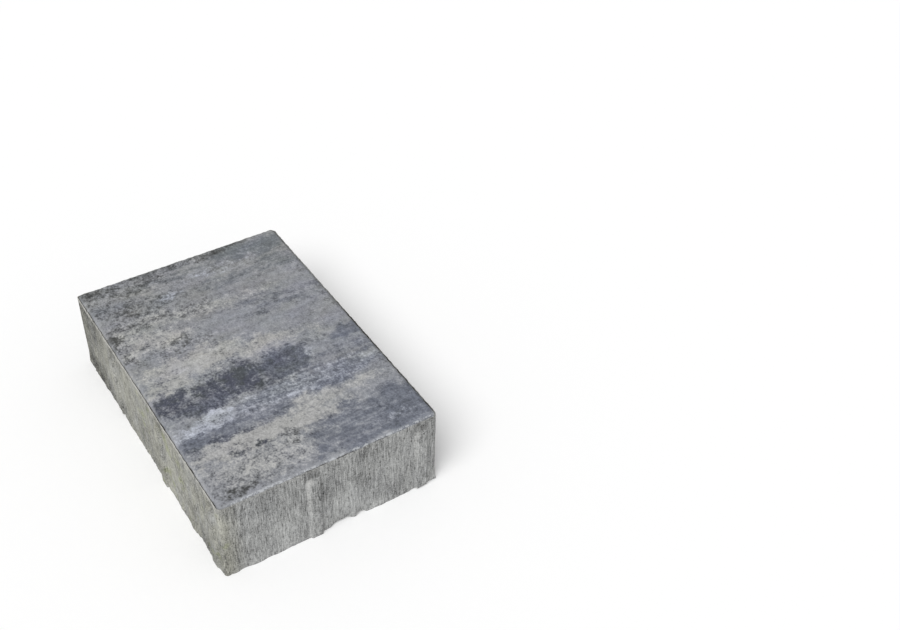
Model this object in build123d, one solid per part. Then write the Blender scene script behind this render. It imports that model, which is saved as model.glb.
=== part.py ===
"""Concrete paving stone, pressed in one piece, for a laying module of 300 x 200 mm.

Millimetres. The bed face lies on Z = 0 with the origin at its middle, +Y runs along the
stone's length, and +Z points out of the wear face.
"""
import math
import os

from build123d import *

# Laying module: the stone together with one joint
module_length = 300.0
module_width = 200.0
joint = 3.0

# Body: straight side walls with rounded upright corners
thickness = 80.0
corner_radius = 5.0

# Upper arris: the pressing shoe leaves a bevel, and its play in the mould leaves a narrow ledge
bevel_rise = 3.0
bevel_run = 3.0
ledge_width = 0.8
wear_corner_radius = 2.0

# Spacer nibs: bars down the side walls, bevelled on both flanks and at the upper end
nib_width = 12.0
nib_projection = 2.5
nib_flank_angle = 30.0
nib_top_gap = 14.0
nib_pitch = 100.0
nib_end_gap = 16.0

# How far a shape runs past the face that trims it
overrun = 10.0

body_length = module_length - joint
body_width = module_width - joint
bevel_foot = thickness - bevel_rise


def stone_outline(inset, radius):
    """The stone in plan, drawn in by `inset` all round."""
    return RectangleRounded(body_width - 2 * inset, body_length - 2 * inset, radius)


def stone_body():
    """The straight-walled block and, set in by the ledge, the bevelled rise to the wear face."""
    block = extrude(stone_outline(0, corner_radius), bevel_foot)
    rise_foot = Pos(0, 0, bevel_foot) * stone_outline(ledge_width, corner_radius - ledge_width)
    wear_face = Pos(0, 0, thickness) * stone_outline(ledge_width + bevel_run, wear_corner_radius)
    return block + loft([rise_foot, wear_face], ruled=True)


def spacer_nib():
    """One nib on a wall in the plane Y = 0, standing out towards -Y with its foot on Z = 0."""
    nib_height = thickness - nib_top_gap
    root = Rectangle(nib_width, nib_height + overrun, align=(Align.CENTER, Align.MAX))
    bar = extrude(Plane.XZ * Pos(0, nib_height) * root, nib_projection, taper=nib_flank_angle)
    return split(bar, Plane.XY, keep=Keep.TOP)


def wall_nibs(nib, wall_length, wall_reach, turn):
    """The nibs of one wall, spaced from its right-hand end as seen from outside."""
    clear_length = wall_length - nib_end_gap - corner_radius - nib_width / 2
    nib_count = math.floor(clear_length / nib_pitch) + 1
    first_place = wall_length / 2 - nib_end_gap
    places = [first_place - index * nib_pitch for index in range(nib_count)]
    return [Rot(0, 0, turn) * Pos(place, -wall_reach, 0) * nib for place in places]


def paving_stone():
    """The body with nibs on its four walls, so that a half turn brings the pattern onto itself."""
    stone = stone_body()
    nib = spacer_nib()
    for turn in (0, 180):
        stone += wall_nibs(nib, body_width, body_length / 2, turn)
    for turn in (-90, 90):
        stone += wall_nibs(nib, body_length, body_width / 2, turn)
    return stone


os.makedirs("parts", exist_ok=True)
stone = paving_stone()
stone.label = "paving_stone"
export_step(stone, "parts/paving_stone.step")
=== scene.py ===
import math

import bpy
import numpy as np
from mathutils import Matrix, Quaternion, Vector


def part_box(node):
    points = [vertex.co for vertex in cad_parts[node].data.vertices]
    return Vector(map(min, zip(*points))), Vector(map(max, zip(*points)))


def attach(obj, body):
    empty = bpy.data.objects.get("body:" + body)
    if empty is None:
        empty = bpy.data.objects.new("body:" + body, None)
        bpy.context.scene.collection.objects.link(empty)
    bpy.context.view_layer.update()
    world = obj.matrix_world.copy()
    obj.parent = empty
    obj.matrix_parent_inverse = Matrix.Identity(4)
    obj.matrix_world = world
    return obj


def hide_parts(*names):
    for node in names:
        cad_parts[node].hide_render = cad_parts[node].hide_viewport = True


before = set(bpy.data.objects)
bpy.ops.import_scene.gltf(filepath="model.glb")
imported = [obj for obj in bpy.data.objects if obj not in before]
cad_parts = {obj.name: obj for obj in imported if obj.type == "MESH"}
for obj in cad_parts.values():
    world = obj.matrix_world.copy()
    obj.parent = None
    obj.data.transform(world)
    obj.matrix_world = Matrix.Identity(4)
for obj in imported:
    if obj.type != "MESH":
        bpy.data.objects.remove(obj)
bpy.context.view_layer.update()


# The paving stone
# One piece of earth-damp concrete, pressed in a steel mould. The pressing shoe bevels the top edge,
# grooves in the mould leave the spacer nibs, and pigments poured in turn streak the wear face.

stone_low, stone_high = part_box("paving_stone")
nib_projection = 0.0025
half_width = stone_high.x - nib_projection
half_length = stone_high.y - nib_projection
half_plan = np.array([half_width, half_length])
wear_level = stone_high.z

corner_radius = 0.005
back_left_radius = 0.0022
corner_zone = 0.010
wear_corner_radius = 0.002
bed_inset = 0.006
foot_height = 0.012
foot_corner_radius = 0.002

nib_half_root = 0.006
nib_flank_run = 0.00144
nib_top = 0.066
nib_pitch = 0.100
nib_end_gap = 0.016
nib_lee_height = 0.007
nib_lee_fade = 1.6
# Where a short wall's nib is rubbed pale and given a painted highlight, along its left edge and over its
# upper end:
# places to the right of its middle, and how much shows there
edge_rub_places, edge_rub_shares = [-0.0064, -0.0059, -0.0048, -0.0028], [0, 1, 0.8, 0]
end_rub_places, end_rub_shares = [-0.0064, -0.0059, -0.0015, 0.0015], [0, 1, 0.7, 0]

# Mesh steps along and up the walls; the foot has closer ones, given as heights above the bed
column_step = 0.0012
wall_step = 0.0026
foot_levels = [0.0, 0.0005, 0.0012, 0.0020, 0.0030, 0.0042, 0.0056, 0.0072, 0.0090, 0.0110]
nib_end_levels = [nib_top - nib_flank_run, nib_top - nib_flank_run / 2, nib_top]

# Section of the arris, from the wall over the burr and the shoe's crease up the bevel to the wear face:
# inset, drop below the wear face, and the shares of burr (painted highlight), crease dirt and painted
# shade, cement film and wear face
arris_section = [
    (0.00000, 0.0048, 0.7, 0.0, 0.0, 0.0),
    (0.00000, 0.0036, 1.0, 0.0, 0.0, 0.0),
    (0.00010, 0.0029, 1.0, 0.0, 0.0, 0.0),
    (0.00030, 0.0027, 1.0, 0.2, 0.0, 0.0),
    (0.00055, 0.0031, 0.2, 1.0, 0.0, 0.0),
    (0.00085, 0.0038, 0.0, 1.0, 0.0, 0.0),
    (0.00115, 0.0034, 0.0, 0.4, 1.0, 1.0),
    (0.00145, 0.0028, 0.0, 0.1, 1.0, 1.0),
    (0.00190, 0.0022, 0.0, 0.0, 0.8, 1.0),
    (0.00240, 0.0016, 0.0, 0.0, 0.4, 1.0),
    (0.00290, 0.0011, 0.0, 0.0, 0.1, 1.0),
    (0.00350, 0.0005, 0.0, 0.0, 0.0, 1.0),
    (0.00410, 0.0002, 0.0, 0.0, 0.0, 1.0),
    (0.00500, 0.0001, 0.0, 0.0, 0.0, 1.0),
]

# Where the damp foot spread or broke away: x and y, half length, how far it stands out
foot_swells = [
    (-half_width, 0.067, 0.007, -0.0020),
    (-half_width, -0.050, 0.012, 0.0004),
    (-half_width, -0.082, 0.022, 0.0012),
    (-half_width, -0.126, 0.012, 0.0012),
    (-half_width, -half_length, 0.012, 0.0004),
    (-0.070, -half_length, 0.010, 0.0008),
    (-0.044, -half_length, 0.014, 0.0005),
    (0.006, -half_length, 0.009, -0.0024),
    (0.024, -half_length, 0.004, -0.0020),
    (0.056, -half_length, 0.004, 0.0004),
    (0.086, -half_length, 0.014, -0.0012),
]


def spaced(marks, step):
    """Every mark, with even steps of about `step` between neighbours."""
    lines = [marks[0]]
    for low, high in zip(marks, marks[1:]):
        parts = max(1, round((high - low) / step))
        lines += [low + (high - low) * part / parts for part in range(1, parts + 1)]
    return np.array(lines)


def nib_places(half):
    """Middles of a wall's nibs, measured along it from its centre to the right as seen from outside."""
    places = []
    place = half - nib_end_gap
    while place > -half + corner_radius + nib_half_root:
        places.append(place)
        place -= nib_pitch
    return places


def wall_lines(half):
    """Cut lines along a wall, with one on each edge of its nibs and of those on the wall opposite."""
    marks = {-half, half, -half + corner_radius, half - corner_radius}
    for place in nib_places(half):
        for edge in (nib_half_root, nib_half_root - nib_flank_run):
            for side in (-1, 1):
                marks |= {place + side * edge, -place - side * edge}
    return spaced(sorted(marks), column_step)


def squeezed(points, inset):
    """Plan points drawn in by `inset` at the walls, and left alone away from them."""
    away = np.abs(points)
    start = half_plan - corner_zone
    drawn = start + (away - start) * (corner_zone - inset) / corner_zone
    return np.sign(points) * np.where(away > start, drawn, away)


def rounded(points, half, radius):
    """Points of the sharp rectangle `half` moved onto its rounded corners."""
    core = np.clip(points, -(half - radius), half - radius)
    out = points - core
    length = np.linalg.norm(out, axis=1, keepdims=True)
    reach = np.abs(out).max(axis=1, keepdims=True)
    return core + out * reach / np.where(length > 0, length, 1)


def from_nearest_nib(along, half):
    """How far each place along a wall lies to the right of the middle of its nearest nib."""
    offsets = np.array([along - place for place in nib_places(half)])
    return np.take_along_axis(offsets, np.abs(offsets).argmin(axis=0)[None], axis=0)[0]


x_lines, y_lines = wall_lines(half_width), wall_lines(half_length)
# Columns round the stone, counter-clockwise from above: front, right, back and left wall
columns = np.array(
    [(x, -half_length) for x in x_lines[:-1]]
    + [(half_width, y) for y in y_lines[:-1]]
    + [(x, half_length) for x in x_lines[:0:-1]]
    + [(-half_width, y) for y in y_lines[:0:-1]]
)
run_x, run_y = len(x_lines) - 1, len(y_lines) - 1
wall_of = np.repeat(np.arange(4), [run_x, run_y, run_x, run_y])
along = np.choose(wall_of, [columns[:, 0], columns[:, 1], -columns[:, 0], -columns[:, 1]])
wall_normal = np.array([(0, -1), (1, 0), (0, 1), (-1, 0)])[wall_of]
short_wall = wall_of % 2 == 0
from_nib = np.where(short_wall, from_nearest_nib(along, half_width), from_nearest_nib(along, half_length))
to_nib = np.abs(from_nib)
at_back_left = (columns[:, :1] < 0) & (columns[:, 1:] > 0)
corner_radii = np.where(at_back_left, back_left_radius, corner_radius)
corner_out = columns - np.clip(columns, corner_radius - half_plan, half_plan - corner_radius)
outward = corner_out / np.linalg.norm(corner_out, axis=1, keepdims=True)
foot_reach = np.zeros(len(columns))
for middle_x, middle_y, half_run, reach in foot_swells:
    away = np.linalg.norm(columns - (middle_x, middle_y), axis=1)
    foot_reach += reach * np.exp(-((away / half_run) ** 4))

arris_start = wear_level - arris_section[0][1]
middle_levels = spaced([foot_levels[-1], nib_end_levels[0]], wall_step)[1:]
upper_levels = spaced([nib_end_levels[-1], arris_start], wall_step)[1:-1]
wall_levels = [*foot_levels, *middle_levels, *nib_end_levels[1:], *upper_levels]
looks = {name: [] for name in
         ("wall", "arris", "burr", "dirt", "film", "wear", "lee", "rub", "foot_reach")}
rings, outwards = [], []


def add_ring(inset, height, radius, stand_out=0.0, **shares):
    """One ring of points round the stone, with the looks that it carries."""
    plan = rounded(squeezed(columns, inset), half_plan - inset, radius)
    plan = plan + wall_normal * np.reshape(stand_out, (-1, 1))
    rings.append(np.column_stack([plan, np.full(len(plan), height)]))
    outwards.append(np.column_stack([outward, np.zeros(len(plan))]))
    for name, values in looks.items():
        values.append(np.broadcast_to(shares.get(name, 0.0), len(plan)))


# A nib slopes at its flanks and end, and the mould's groove passes over the lee above it without dragging
nib_flank = np.clip((nib_half_root - to_nib) / nib_flank_run, 0, 1)
nib_lee = np.clip((nib_half_root + nib_flank_run - to_nib) / nib_flank_run, 0, 1)
edge_rub = np.interp(from_nib, edge_rub_places, edge_rub_shares) * short_wall
end_rub = np.interp(from_nib, end_rub_places, end_rub_shares) * short_wall
lee_half = nib_lee_height / 2

add_ring(bed_inset, 0.0, corner_radii)
for height in wall_levels:
    risen = np.clip(height / foot_height, 0, 1)
    radius = foot_corner_radius + (corner_radii - foot_corner_radius) * risen
    nib_end = np.clip((nib_top - height) / nib_flank_run, 0, 1)
    lee_band = np.clip(nib_lee_fade - abs(height - nib_top - lee_half) / lee_half, 0, 1)
    rub = np.maximum(edge_rub * (height < nib_top), end_rub * (height in nib_end_levels))
    add_ring(
        0.0, height, radius, stand_out=np.minimum(nib_flank, nib_end) * nib_projection,
        wall=1.0, lee=nib_lee * lee_band, foot_reach=foot_reach, rub=rub,
    )
rim_inset, rim_drop = arris_section[-1][:2]
for inset, drop, burr, dirt, film, wear in arris_section[:-1]:
    radius = corner_radii + (wear_corner_radius - corner_radii) * inset / rim_inset
    add_ring(
        inset, wear_level - drop, radius,
        arris=1.0, burr=burr, dirt=dirt, film=film, wear=wear, lee=nib_lee * (wear == 0),
    )

# The wear face is a grid whose rim closes the last ring
rim_half = half_plan - rim_inset
grid = np.stack(np.meshgrid(x_lines, y_lines, indexing="ij"), axis=-1).reshape(-1, 2)
grid = squeezed(grid, rim_inset)
inward = np.clip((rim_half - np.abs(grid)).min(axis=1, keepdims=True), 0, None)
grid = rounded(grid, rim_half - inward, np.clip(wear_corner_radius - inward, 0, None))
points = np.concatenate([*rings, np.column_stack([grid, np.full(len(grid), wear_level - rim_drop)])])
outwards.append(np.zeros((len(grid), 3)))
for name, values in looks.items():
    values.append(np.full(len(grid), float(name == "wear")))
looks["arris"][-1] = np.clip(1 - inward[:, 0] / corner_zone, 0, 1)

count = len(columns)
grid_start = len(rings) * count
grid_row = len(y_lines)
rim = grid_start + np.concatenate([
    np.arange(run_x) * grid_row,
    run_x * grid_row + np.arange(run_y),
    np.arange(run_x, 0, -1) * grid_row + run_y,
    np.arange(run_y, 0, -1),
])
loops = [np.arange(count) + ring * count for ring in range(len(rings))] + [rim]
faces = [loops[0][::-1].tolist()]
for low, high in zip(loops, loops[1:]):
    faces += np.column_stack([low, np.roll(low, -1), np.roll(high, -1), high]).tolist()
cell = grid_start + (np.arange(run_x)[:, None] * grid_row + np.arange(run_y)).ravel()
faces += np.column_stack([cell, cell + grid_row, cell + grid_row + 1, cell + 1]).tolist()

block_mesh = bpy.data.meshes.new("pressed_block")
block_mesh.from_pydata(points.tolist(), [], faces)
for name, values in looks.items():
    attribute = block_mesh.attributes.new(name, "FLOAT", "POINT")
    attribute.data.foreach_set("value", np.concatenate(values).astype(np.float32))
attribute = block_mesh.attributes.new("outward", "FLOAT_VECTOR", "POINT")
attribute.data.foreach_set("vector", np.concatenate(outwards).astype(np.float32).ravel())
stone = bpy.data.objects.new("paving_stone_cast", block_mesh)
bpy.context.scene.collection.objects.link(stone)


def add_node(tree, kind, values=None, **settings):
    """Adds a node with its settings, fills its inputs with values or outputs, and gives its output."""
    node = tree.nodes.new(kind)
    for name, value in settings.items():
        setattr(node, name, value)
    for key, value in (values or {}).items():
        if isinstance(value, bpy.types.NodeSocket):
            tree.links.new(value, node.inputs[key])
        else:
            node.inputs[key].default_value = value
    return next((output for output in node.outputs if output.enabled), None)


def arithmetic(tree, operation, first, second=0.0, third=0.0):
    """One Math node."""
    return add_node(tree, "ShaderNodeMath", {0: first, 1: second, 2: third}, operation=operation)


def vectors(tree, operation, first, second):
    """One Vector Math node on two vectors."""
    return add_node(tree, "ShaderNodeVectorMath", {0: first, 1: second}, operation=operation)


def noise(tree, place, scale, seed, detail=2.0, rough=0.6):
    """Noise with lumps about `1 / scale` metres across, from 0 to 1."""
    values = {"Vector": place, "W": seed, "Scale": scale, "Detail": detail, "Roughness": rough}
    return add_node(tree, "ShaderNodeTexNoise", values, noise_dimensions="4D")


def eased(tree, value, start, end, low=0.0, high=1.0):
    """Goes smoothly from `low` at `start` to `high` at `end`."""
    values = {"Value": value, "From Min": start, "From Max": end, "To Min": low, "To Max": high}
    return add_node(tree, "ShaderNodeMapRange", values, interpolation_type="SMOOTHSTEP")


def product(tree, *values):
    """Several values multiplied."""
    total = values[0]
    for value in values[1:]:
        total = arithmetic(tree, "MULTIPLY", total, value)
    return total


def centred(tree, *parts):
    """Noises added up by weight, about zero."""
    total = -sum(weight for share, weight in parts) / 2
    for share, weight in parts:
        total = arithmetic(tree, "MULTIPLY_ADD", share, weight, total)
    return total


def mixed(tree, share, first, second):
    """Two colours mixed by a share."""
    return add_node(tree, "ShaderNodeMix", {0: share, 6: first, 7: second}, data_type="RGBA")


def between(tree, share, first, second):
    """A value between two others, by a share."""
    return add_node(tree, "ShaderNodeMix", {0: share, 2: first, 3: second}, data_type="FLOAT")


def drift(tree, place, scale):
    """A noise of three parts about zero, which moves places to and fro."""
    node = tree.nodes.new("ShaderNodeTexNoise")
    node.inputs["Scale"].default_value = scale
    node.inputs["Detail"].default_value = 3
    tree.links.new(place, node.inputs["Vector"])
    return vectors(tree, "SUBTRACT", node.outputs["Color"], (0.5, 0.5, 0.5))


def hollows(tree, place, scale):
    """Scattered hollows, taller than wide: how far off the nearest one is, and a number drawn for it."""
    node = tree.nodes.new("ShaderNodeTexVoronoi")
    node.inputs["Scale"].default_value = scale
    tree.links.new(vectors(tree, "MULTIPLY", place, (1.0, 1.0, 0.6)), node.inputs["Vector"])
    drawn = tree.nodes.new("ShaderNodeSeparateXYZ")
    tree.links.new(node.outputs["Color"], drawn.inputs[0])
    return node.outputs["Distance"], drawn.outputs["X"]


def tone(red, green, blue):
    """A colour as a screen shows it, in the linear values that a shader takes."""
    return tuple((level / 255) ** 2.2 for level in (red, green, blue)) + (1.0,)


ground_grey = tone(140, 142, 147)
dust_grey = tone(139, 140, 142)
anthracite = tone(82, 85, 96)
charcoal = tone(82, 83, 82)
soot = tone(81, 85, 87)
slate = tone(110, 114, 124)
dusty_slate = tone(113, 117, 121)
pale_blue = tone(173, 177, 186)
beige = tone(165, 165, 164)
cement_film = tone(200, 203, 207)
# Pale grey of the burr, a painted highlight along its edge
burr_highlight_grey = tone(188, 187, 182)
wall_grey = tone(153, 154, 154)
wall_ochre = tone(147, 146, 134)
wall_green = tone(140, 144, 116)
# Pale grey of the rubbed nibs, carrying a painted highlight
rubbed_grey = tone(204, 204, 202)
# Dark brown of dirt, also painted shade in the crease and in the lee above the nibs
dirt_brown = tone(66, 64, 61)
# Dark grey of the pores, painted shade in holes the mesh does not carry
pore_shade_grey = tone(92, 92, 90)

# Pigment streaks on the wear face, and one painted shade along its right edge: middle x and y, half length,
# half width, amount
anthracite_streaks = [
    (-0.085, -0.031, 0.018, 0.010, 0.60),
    (-0.082, -0.021, 0.016, 0.007, 0.95),
    (-0.050, -0.024, 0.016, 0.014, 0.80),
    (-0.066, -0.041, 0.046, 0.010, 0.54),
    (-0.022, -0.028, 0.030, 0.019, 0.92),
    (-0.030, -0.048, 0.011, 0.006, 0.55),
    (0.013, -0.047, 0.012, 0.007, 0.50),
    (0.018, -0.028, 0.026, 0.018, 0.66),
    (0.050, -0.016, 0.022, 0.006, 0.45),
    (-0.043, -0.102, 0.006, 0.005, 0.72),
    (-0.059, -0.103, 0.006, 0.007, 0.72),
    (-0.066, -0.084, 0.038, 0.0035, 0.62),
    (-0.015, -0.079, 0.012, 0.004, 0.40),
    (0.082, -0.124, 0.030, 0.026, 0.32),
]
charcoal_streaks_and_edge_shade = [
    (-0.074, -0.140, 0.020, 0.008, 0.60),
    (-0.014, -0.112, 0.010, 0.007, 0.62),
    (-0.060, -0.128, 0.045, 0.016, 0.30),
    (-0.045, 0.040, 0.012, 0.011, 0.58),
    (-0.026, 0.035, 0.010, 0.008, 0.55),
    (-0.063, 0.032, 0.010, 0.006, 0.44),
    (-0.094, 0.068, 0.010, 0.011, 0.88),
    (-0.093, 0.042, 0.009, 0.007, 0.72),
    (-0.065, 0.077, 0.010, 0.006, 0.22),
    (-0.016, 0.077, 0.018, 0.006, 0.50),
    (-0.078, 0.088, 0.012, 0.008, 0.50),
    (-0.065, 0.095, 0.045, 0.028, 0.36),
    (-0.066, 0.102, 0.018, 0.011, 0.65),
    (-0.060, 0.128, 0.045, 0.012, 0.48),
    (-0.036, 0.132, 0.020, 0.007, 0.55),
    (-0.084, 0.140, 0.024, 0.010, 0.75),
    (0.000, 0.143, 0.110, 0.007, 0.55),
    (0.045, 0.046, 0.018, 0.008, 0.35),
    # Painted shade along the right edge of the wear face, given as a faint charcoal streak
    (0.098, 0.000, 0.008, 0.150, 0.30),
]
slate_streaks = [
    (-0.060, -0.043, 0.050, 0.008, 0.70),
    (0.020, -0.029, 0.026, 0.018, 1.10),
    (-0.060, -0.075, 0.048, 0.010, 0.85),
    (-0.012, -0.076, 0.022, 0.009, 0.75),
    (0.024, -0.061, 0.076, 0.014, 0.92),
    (0.060, -0.040, 0.040, 0.012, 0.45),
    (0.086, -0.020, 0.016, 0.009, 0.95),
    (0.088, -0.043, 0.020, 0.008, 0.70),
    (0.042, -0.102, 0.014, 0.007, 0.75),
    (0.082, -0.122, 0.028, 0.026, 1.05),
    (0.052, -0.124, 0.044, 0.022, 0.84),
    (0.026, -0.114, 0.018, 0.007, 0.85),
    (0.018, -0.122, 0.024, 0.018, 0.70),
    (0.058, -0.142, 0.054, 0.008, 0.95),
    (0.002, -0.138, 0.014, 0.009, 0.85),
    (0.045, 0.046, 0.024, 0.010, 0.65),
    (0.080, 0.044, 0.024, 0.014, 0.45),
    (0.042, 0.057, 0.038, 0.006, 0.50),
    (0.038, 0.098, 0.044, 0.009, 0.72),
    (0.082, 0.100, 0.016, 0.018, 0.70),
    (-0.058, 0.110, 0.045, 0.026, 0.50),
    (0.079, 0.122, 0.020, 0.008, 0.90),
    (0.060, 0.132, 0.046, 0.013, 0.95),
    (-0.018, 0.127, 0.044, 0.008, 0.62),
    (0.000, 0.140, 0.050, 0.009, 0.45),
]
pale_blue_streaks = [
    (-0.057, -0.056, 0.012, 0.006, 0.92),
    (-0.058, -0.065, 0.015, 0.005, 0.82),
    (-0.068, -0.065, 0.030, 0.009, 0.70),
    (-0.054, -0.066, 0.024, 0.003, 0.60),
    (-0.086, -0.064, 0.020, 0.006, 0.54),
    (-0.036, -0.061, 0.030, 0.006, 0.34),
    (0.020, -0.061, 0.080, 0.013, 0.46),
    (0.080, -0.057, 0.010, 0.006, 0.25),
    (0.068, -0.132, 0.014, 0.005, 0.46),
    (0.043, -0.032, 0.006, 0.008, 0.30),
    (0.024, 0.116, 0.046, 0.007, 0.35),
    (-0.030, 0.103, 0.013, 0.008, 0.45),
]
beige_streaks = [
    (-0.044, 0.010, 0.050, 0.015, 1.05),
    (-0.082, -0.005, 0.022, 0.008, 0.90),
    (0.015, 0.003, 0.036, 0.011, 0.80),
    (0.066, -0.004, 0.016, 0.007, 0.45),
    (-0.066, 0.052, 0.034, 0.016, 0.74),
    (-0.060, 0.078, 0.040, 0.010, 0.55),
    (0.018, 0.069, 0.050, 0.008, 0.58),
    (-0.035, -0.097, 0.075, 0.011, 1.10),
    (0.020, -0.084, 0.028, 0.010, 0.75),
    (0.055, -0.082, 0.030, 0.008, 0.60),
    (-0.050, -0.122, 0.055, 0.020, 0.60),
]

concrete = bpy.data.materials.new("streaked_concrete")
concrete.use_nodes = True
shades = concrete.node_tree
shades.nodes.clear()
place = shades.nodes.new("ShaderNodeTexCoord").outputs["Object"]
place_parts = shades.nodes.new("ShaderNodeSeparateXYZ")
shades.links.new(place, place_parts.inputs[0])
place_x, place_y, place_z = place_parts.outputs


def look(name):
    """A look that the block's mesh carries, as a share from 0 to 1."""
    node = shades.nodes.new("ShaderNodeAttribute")
    node.attribute_name = name
    return node.outputs["Fac"]


def toned(colour, level):
    """A colour made lighter or darker by a level about one."""
    levels = add_node(shades, "ShaderNodeCombineXYZ", {0: level, 1: level, 2: level})
    return vectors(shades, "MULTIPLY", colour, levels)


# Noises from the finest grain to the clouds of a pour; trails and clouds are drawn out along the streaks
long_place = vectors(shades, "MULTIPLY", place, (0.55, 1.0, 1.0))
trail_place = vectors(shades, "MULTIPLY", place, (0.12, 1.0, 1.0))
grain = noise(shades, place, scale=950, seed=4.0, detail=1.0)
sand = noise(shades, place, scale=560, seed=1.0)
specks = noise(shades, place, scale=230, seed=2.0)
trails = noise(shades, trail_place, scale=260, seed=7.0)
clouds = noise(shades, long_place, scale=80, seed=3.0, detail=3.0)

# Streaks wander, and fray into specks wherever they are thin, most of all on the left half
wander_reach = (0.045, 0.026, 0.0)
wander = vectors(shades, "MULTIPLY", drift(shades, place, scale=70), wander_reach)
streak_place = vectors(shades, "ADD", place, wander)
speck_fray = centred(shades, (sand, 1.8), (specks, 2.0), (clouds, 1.4))
speck_fray = product(shades, speck_fray, eased(shades, place_x, -0.03, 0.05, 0.71, 0.54))
trail_fray = centred(shades, (trails, 1.0), (sand, 0.5), (specks, 0.9), (clouds, 1.2))
thin_fray = centred(shades, (trails, 1.2), (sand, 1.6), (specks, 1.6))

# A streak is whole inside the first of these shares of its half sizes, and gone outside the second
streak_core, streak_end = 0.4, 1.6
# Less pigment than the first of these doesn't show, and the second covers the ground
pigment_start, pigment_full = 0.18, 1.0


def pigment_share(streaks, fray, fray_side):
    """Where a pigment lies: a dark one gathers where the fray is high, a pale one where it is low."""
    total = None
    for middle_x, middle_y, half_x, half_y, amount in streaks:
        off = vectors(shades, "SUBTRACT", streak_place, (middle_x, middle_y, 0))
        off = vectors(shades, "MULTIPLY", off, (1 / half_x, 1 / half_y, 0))
        far = add_node(shades, "ShaderNodeVectorMath", {0: off}, operation="LENGTH")
        here = eased(shades, far, streak_end, streak_core, 0.0, amount)
        total = here if total is None else arithmetic(shades, "MAXIMUM", total, here)
    total = arithmetic(shades, "MULTIPLY_ADD", fray, fray_side, total)
    return eased(shades, total, pigment_start, pigment_full)


# The pigments cover the ground colour in turn, and the back end is dusty
dusty_end = eased(shades, place_y, 0.02, 0.13)
slate_here = mixed(shades, dusty_end, slate, dusty_slate)
soot_patches = eased(shades, noise(shades, place, scale=75, seed=11.0), 0.46, 0.62, 0.0, 0.8)
band_colour = mixed(shades, soot_patches, anthracite, soot)
pours = [
    (beige_streaks, speck_fray, -1.0, beige),
    (slate_streaks, trail_fray, 1.0, slate_here),
    (pale_blue_streaks, thin_fray, -0.5, pale_blue),
    (charcoal_streaks_and_edge_shade, speck_fray, 1.0, charcoal),
    (anthracite_streaks, speck_fray, 0.85, band_colour),
]
wear_colour = mixed(shades, dusty_end, ground_grey, dust_grey)
for streaks, fray, fray_side, pigment in pours:
    wear_colour = mixed(shades, pigment_share(streaks, fray, fray_side), wear_colour, pigment)
wear_shade = centred(shades, (grain, 0.6), (sand, 1.0), (specks, 1.1), (trails, 0.5), (clouds, 0.7))
wear_shade = arithmetic(shades, "MULTIPLY_ADD", wear_shade, -0.85, 1.0)
wear_colour = toned(wear_colour, wear_shade)

# The wear face is a little warmer or cooler from patch to patch, least at the front
tint_amount = eased(shades, place_y, -0.100, -0.040, 0.3, 1.0)
warm_noise = noise(shades, long_place, scale=48, seed=12.0, detail=3.0)
green_noise = noise(shades, long_place, scale=48, seed=13.0, detail=3.0)
warmth = product(shades, centred(shades, (warm_noise, 0.17)), tint_amount)
greenness = product(shades, centred(shades, (green_noise, 0.08)), tint_amount)
greenness = arithmetic(shades, "MULTIPLY_ADD", warmth, 0.4, greenness)
red_level = arithmetic(shades, "MULTIPLY_ADD", warmth, 0.6, 1.0)
green_level = arithmetic(shades, "ADD", greenness, 1.0)
blue_level = arithmetic(shades, "MULTIPLY_ADD", warmth, -1.2, 1.0)
tint = add_node(shades, "ShaderNodeCombineXYZ", {0: red_level, 1: green_level, 2: blue_level})
wear_colour = vectors(shades, "MULTIPLY", wear_colour, tint)

# The bevel keeps a pale film of cement, most of it along the front
film_patches = eased(shades, centred(shades, (specks, 1.2), (sand, 1.4)), -0.10, 0.08, 0.1, 1.0)
front_film = eased(shades, place_x, -0.096, -0.082, 0.2, 1.0)
film_side = eased(shades, place_y, -0.140, -0.144, 0.35, front_film)
film_share = product(shades, look("film"), film_patches, film_side)
wear_colour = mixed(shades, film_share, wear_colour, cement_film)

# The walls are plain concrete, dragged upright by the mould, with the left one more blotched than dragged
drag_place = vectors(shades, "MULTIPLY", place, (1.0, 1.0, 0.11))
lane_place = vectors(shades, "MULTIPLY", place, (1.0, 1.0, 0.4))
drag = noise(shades, drag_place, scale=1000, seed=5.0, detail=1.0)
lanes = noise(shades, lane_place, scale=60, seed=6.0, detail=3.0)
damp = noise(shades, place, scale=26, seed=8.0, detail=3.0)
left_side = eased(shades, place_x, -0.090, -0.097)
drag_shade = product(shades, centred(shades, (drag, 2.1)), eased(shades, left_side, 0.0, 1.0, 1.0, 0.7))
left_blotches = product(shades, centred(shades, (specks, 0.4), (clouds, 0.4), (damp, 0.4)), left_side)

# The left wall is darker towards the foot as painted shade, and the others lighter there as painted light;
# the left wall is also darker at its back end and lighter at its front end, and the front wall darker at
# its left end
front_light = eased(shades, place_z, 0.010, 0.074, 1.14, 0.94)
left_light = eased(shades, place_z, 0.004, 0.040, 0.90, 1.02)
wall_light = between(shades, left_side, front_light, left_light)
darker_back_end = product(shades, left_side, eased(shades, place_y, 0.070, 0.115, 0.0, -0.26))
lighter_front_end = product(shades, left_side, eased(shades, place_y, -0.060, -0.090, 0.0, 0.08))
at_front = eased(shades, place_y, -0.1445, -0.1475)
darker_front_corner = product(shades, at_front, eased(shades, place_x, -0.074, -0.086, 0.0, -0.14))
wall_shade = centred(shades, (grain, 1.7), (sand, 1.2), (specks, 0.5), (lanes, 0.8), (damp, 1.3))
for change in (drag_shade, left_blotches, wall_light, darker_back_end, darker_front_corner, lighter_front_end):
    wall_shade = arithmetic(shades, "ADD", wall_shade, change)
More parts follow.
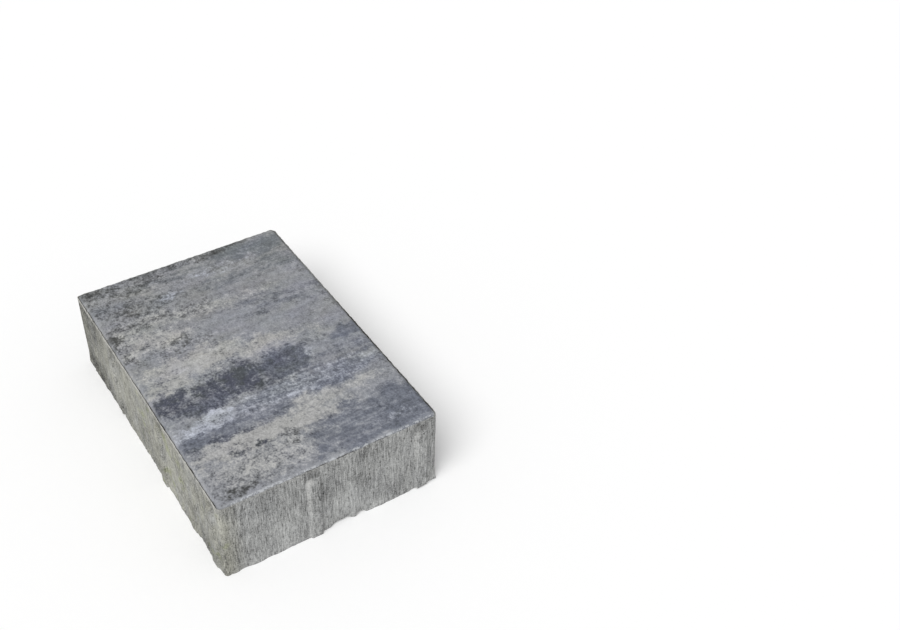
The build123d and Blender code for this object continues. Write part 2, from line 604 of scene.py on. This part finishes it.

# The left wall has most of the ochre, and faint green patches, and all the walls have open pores, dark with
# painted shade
ochre_side = eased(shades, place_x, -0.076, -0.096, 0.1, 0.70)
ochre_share = product(shades, eased(shades, lanes, 0.25, 0.60, 0.2, 1.0), ochre_side)
wall_colour = mixed(shades, ochre_share, wall_grey, wall_ochre)
green_patches = eased(shades, noise(shades, place, scale=75, seed=9.0, detail=1.0), 0.58, 0.70, 0.0, 0.6)
green_share = product(shades, left_side, eased(shades, place_y, 0.040, 0.0), green_patches)
wall_colour = toned(mixed(shades, green_share, wall_colour, wall_green), wall_shade)
from_pore, pore_draw = hollows(shades, place, scale=300)
pore_hole = eased(shades, from_pore, 0.34, 0.14)
pore_shade_share = product(shades, pore_hole, eased(shades, pore_draw, 0.55, 0.9, 0.0, 0.75))
wall_colour = mixed(shades, pore_shade_share, wall_colour, pore_shade_grey)

# The short walls' nibs are rubbed pale with a painted highlight, halved on the front's right-hand nib as
# painted shade. The lee above a nib is dark with rough concrete and painted shade, and the burr pale with a
# painted highlight, both most on the left
most_on_left = eased(shades, left_side, 0.0, 1.0, 0.5, 1.0)
rub_specks = eased(shades, centred(shades, (sand, 1.0), (specks, 1.0)), -0.2, 0.05, 0.35, 1.0)
rub_level = eased(shades, place_z, 0.01, 0.056, 0.2, 0.8)
# Painted shade: the highlight is halved on the front wall's right-hand nib
rub_side = eased(shades, place_x, 0.030, 0.060, 1.0, 0.5)
rub_share = product(shades, look("rub"), rub_level, rub_specks, rub_side)
wall_colour = mixed(shades, rub_share, wall_colour, rubbed_grey)
# The lee is darkened with rough concrete and painted shade in its hollow
lee_specks = eased(shades, centred(shades, (specks, 1.0), (sand, 1.0)), -0.08, 0.12, 0.0, 0.7)
lee_shade_share = product(shades, look("lee"), lee_specks, most_on_left)
wall_colour = mixed(shades, lee_shade_share, wall_colour, dirt_brown)
# The burr gets a painted highlight, most on the left wall and least along the front
burr_specks = eased(shades, specks, 0.35, 0.55, 0.2, 1.0)
front_burr = eased(shades, place_x, 0.020, 0.050, 0.4, 0.2)
burr_side = eased(shades, place_y, -0.1455, -0.1475, 1.0, front_burr)
burr_highlight_share = product(shades, look("burr"), burr_specks, burr_side, most_on_left)
wall_colour = mixed(shades, burr_highlight_share, wall_colour, burr_highlight_grey)

# Dirt and painted shade lie in the crease that the shoe leaves, least at the back and at the ends of the
# front
stone_colour = mixed(shades, look("wear"), wall_colour, wear_colour)
dirt_patches = eased(shades, centred(shades, (specks, 0.8), (lanes, 1.0)), -0.24, 0.02, 0.3, 1.0)
front_dirt = product(
    shades, eased(shades, place_x, -0.060, -0.025, 0.2, 0.9), eased(shades, place_x, 0.038, 0.062, 1.0, 0.2)
)
dirt_front = eased(shades, place_y, -0.140, -0.146, 1.0, front_dirt)
dirt_back = eased(shades, place_y, 0.060, -0.010, 0.45, 1.0)
crease_width = eased(shades, noise(shades, place, scale=55, seed=10.0, detail=1.0), 0.46, 0.58, 1.2, 0.4)
crease = eased(shades, look("dirt"), 0.0, crease_width)
dirt_share = product(shades, crease, dirt_patches, dirt_front, dirt_back)
stone_colour = mixed(shades, dirt_share, stone_colour, dirt_brown)

wear_height = centred(shades, (grain, 0.6), (sand, 1.0), (specks, 0.6))
wall_height = centred(shades, (grain, 0.6), (sand, 1.0), (drag, 1.2))
grain_height = between(shades, look("wear"), wall_height, wear_height)
bump = add_node(shades, "ShaderNodeBump", {"Strength": 0.6, "Distance": 0.0008, "Height": grain_height})
surface = add_node(
    shades, "ShaderNodeBsdfPrincipled",
    {"Base Color": stone_colour, "Roughness": 0.93, "Specular IOR Level": 0.25, "Normal": bump},
)
add_node(shades, "ShaderNodeOutputMaterial", {"Surface": surface})

# The mould drags the walls as it lifts off, the shoe crumbles the arris, and the damp foot spreads
relief = bpy.data.node_groups.new("mould_marks", "GeometryNodeTree")
relief.interface.new_socket("Geometry", in_out="OUTPUT", socket_type="NodeSocketGeometry")
relief.interface.new_socket("Geometry", in_out="INPUT", socket_type="NodeSocketGeometry")
relief_sizes = {
    "Drag Depth": 0.0005,
    "Lane Depth": 0.0006,
    "Pit Depth": 0.0007,
    "Lee Depth": 0.0006,
    "Foot Spread": 0.0009,
    "Foot Crumble": 0.0026,
    "Foot Height": 0.013,
    "Toe Height": 0.004,
    "Arris Crumble": 0.0014,
    "Wear Swell": 0.0004,
    "Wear Grain": 0.0004,
    "Seed": 11.0,
}
relief_sockets = {}
for name in relief_sizes:
    socket = relief.interface.new_socket(name, in_out="INPUT", socket_type="NodeSocketFloat")
    relief_sockets[name] = socket.identifier
for name in ("Box Low", "Box High"):
    socket = relief.interface.new_socket(name, in_out="INPUT", socket_type="NodeSocketVector")
    relief_sockets[name] = socket.identifier
given = relief.nodes.new("NodeGroupInput").outputs


def carried(name, kind="FLOAT"):
    """A value or direction that the block's mesh carries."""
    return add_node(relief, "GeometryNodeInputNamedAttribute", {"Name": name}, data_type=kind)


def signed(share, size):
    """A noise from 0 to 1 as a height of up to half of `size` either way."""
    return product(relief, arithmetic(relief, "SUBTRACT", share, 0.5), size)


def summed(*heights):
    """Several heights added up."""
    total = heights[0]
    for height in heights[1:]:
        total = arithmetic(relief, "ADD", total, height)
    return total


spot = add_node(relief, "GeometryNodeInputPosition")
spot_parts = relief.nodes.new("ShaderNodeSeparateXYZ")
relief.links.new(spot, spot_parts.inputs[0])
level = spot_parts.outputs["Z"]
seed = given["Seed"]

drag_spot = vectors(relief, "MULTIPLY", spot, (1, 1, 0.1))
lane_spot = vectors(relief, "MULTIPLY", spot, (1, 1, 0.3))
drag_lines = noise(relief, drag_spot, scale=380, seed=seed, detail=3.0)
drag_lanes = noise(relief, lane_spot, scale=70, seed=seed)
from_pit, pit_draw = hollows(relief, spot, scale=150)
pit_hole = eased(relief, from_pit, 0.32, 0.12)
pit_share = product(relief, pit_hole, arithmetic(relief, "GREATER_THAN", pit_draw, 0.75))
foot = eased(relief, level, given["Foot Height"], 0.0)
toe = eased(relief, level, given["Toe Height"], 0.0)
foot_spread = eased(relief, noise(relief, spot, scale=60, seed=seed), 0.36, 0.64)
foot_crumbs = noise(relief, spot, scale=330, seed=seed, detail=3.0, rough=0.8)
push = summed(
    signed(drag_lines, given["Drag Depth"]),
    signed(drag_lanes, given["Lane Depth"]),
    product(relief, pit_share, given["Pit Depth"], -1.0),
    product(relief, carried("lee"), given["Lee Depth"], -1.0),
    product(relief, foot, foot_spread, given["Foot Spread"]),
    product(relief, foot, carried("foot_reach")),
    product(relief, toe, signed(foot_crumbs, given["Foot Crumble"])),
)
push = product(relief, push, carried("wall"))
wall_move = add_node(
    relief, "ShaderNodeVectorMath", {0: carried("outward", "FLOAT_VECTOR"), 3: push}, operation="SCALE"
)
broken = arithmetic(relief, "MAXIMUM", product(relief, carried("foot_reach"), -1.0), 0.0)
crumbled = arithmetic(relief, "MAXIMUM", signed(foot_crumbs, given["Foot Crumble"]), 0.0)
wear_swell = signed(noise(relief, spot, scale=40, seed=seed), given["Wear Swell"])
wear_grain = signed(noise(relief, spot, scale=420, seed=seed), given["Wear Grain"])
lift = summed(
    product(relief, toe, summed(broken, crumbled), carried("wall")),
    product(relief, summed(wear_swell, wear_grain), carried("wear")),
)
crumble = drift(relief, spot, scale=220)
crumble_size = product(relief, given["Arris Crumble"], carried("arris"))
arris_move = add_node(relief, "ShaderNodeVectorMath", {0: crumble, 3: crumble_size}, operation="SCALE")

move = vectors(relief, "ADD", wall_move, arris_move)
move = vectors(relief, "ADD", move, add_node(relief, "ShaderNodeCombineXYZ", {"Z": lift}))
moved = vectors(relief, "MAXIMUM", vectors(relief, "ADD", spot, move), given["Box Low"])
moved = vectors(relief, "MINIMUM", moved, given["Box High"])
shaped = add_node(relief, "GeometryNodeSetPosition", {"Geometry": given["Geometry"], "Position": moved})
shaped = add_node(relief, "GeometryNodeRealizeInstances", {"Geometry": shaped})
shaped = add_node(relief, "GeometryNodeSetMaterial", {"Geometry": shaped, "Material": concrete})
add_node(relief, "NodeGroupOutput", {0: shaped})

marks = stone.modifiers.new("mould_marks", "NODES")
marks.node_group = relief
for name, size in relief_sizes.items():
    marks[relief_sockets[name]] = size
marks[relief_sockets["Box Low"]] = tuple(stone_low)
marks[relief_sockets["Box High"]] = tuple(stone_high)
finished = stone.evaluated_get(bpy.context.evaluated_depsgraph_get())
stone_mesh = bpy.data.meshes.new_from_object(finished)
stone.modifiers.remove(marks)
stone.data = stone_mesh
stone_mesh.polygons.foreach_set("use_smooth", [True] * len(stone_mesh.polygons))
stone_mesh.update()

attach(stone, "root")
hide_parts("paving_stone")


# The floor
# A plain studio floor of painted board, white to the camera. It keeps the stone's soft shadow.

floor_half = 6.0
floor_white = (0.86, 0.86, 0.86, 1)
seen_white = (1, 1, 1, 1)
floor_mesh = bpy.data.meshes.new("studio_floor")
floor_mesh.from_pydata(
    [(-floor_half, -floor_half, 0), (floor_half, -floor_half, 0),
     (floor_half, floor_half, 0), (-floor_half, floor_half, 0)],
    [], [(0, 1, 2, 3)],
)
floor = bpy.data.objects.new("studio_floor", floor_mesh)
bpy.context.scene.collection.objects.link(floor)
floor_paint = bpy.data.materials.new("floor_paint")
floor_paint.use_nodes = True
paint = floor_paint.node_tree
paint_seen = paint.nodes.new("ShaderNodeLightPath").outputs["Is Camera Ray"]
paint_surface = paint.nodes["Principled BSDF"]
paint_surface.inputs["Roughness"].default_value = 1.0
paint_surface.inputs["Specular IOR Level"].default_value = 0.0
paint.links.new(mixed(paint, paint_seen, floor_white, seen_white), paint_surface.inputs["Base Color"])
floor_mesh.materials.append(floor_paint)


# The studio light
# A white tent all round, lit softly from outside, and one broad soft lamp from the front left.

tent_light = 0.45
lamp_strength = 2.14
lamp_spread = math.radians(40)
lamp_from = Vector((-0.48, -0.33, 0.81))
world = bpy.data.worlds.new("studio_tent")
bpy.context.scene.world = world
world.use_nodes = True
tent = world.node_tree
tent_cloth = tent.nodes["Background"]
tent_cloth.inputs["Color"].default_value = (1, 1, 1, 1)
tent_seen = tent.nodes.new("ShaderNodeLightPath").outputs["Is Camera Ray"]
tent_strength = arithmetic(tent, "MULTIPLY_ADD", tent_seen, 1 - tent_light, tent_light)
tent.links.new(tent_strength, tent_cloth.inputs["Strength"])
lamp_data = bpy.data.lights.new("soft_lamp", "SUN")
lamp_data.energy = lamp_strength
lamp_data.angle = lamp_spread
lamp = bpy.data.objects.new("soft_lamp", lamp_data)
lamp.rotation_mode = "QUATERNION"
lamp.rotation_quaternion = lamp_from.to_track_quat("Z", "Y")
bpy.context.scene.collection.objects.link(lamp)


# The camera
# It looks down on the stone from the front left, as in the photograph.

azimuth, elevation, roll = math.radians(-34.11), math.radians(40.52), math.radians(1.80)
stone_from_camera = Vector((-0.1749, -0.0911, -1.1299))
focal_length, sensor_width = 50.23, 36
back = Vector((
    math.sin(azimuth) * math.cos(elevation), -math.cos(azimuth) * math.cos(elevation), math.sin(elevation)
))
camera_data = bpy.data.cameras.new("camera")
camera_data.sensor_width = sensor_width
camera_data.lens = focal_length
camera = bpy.data.objects.new("camera", camera_data)
camera.rotation_mode = "QUATERNION"
camera.rotation_quaternion = back.to_track_quat("Z", "Y") @ Quaternion((0, 0, 1), roll)
camera.location = -(camera.rotation_quaternion @ stone_from_camera)
bpy.context.scene.collection.objects.link(camera)
bpy.context.scene.camera = camera
bpy.context.scene.view_settings.view_transform = "Standard"
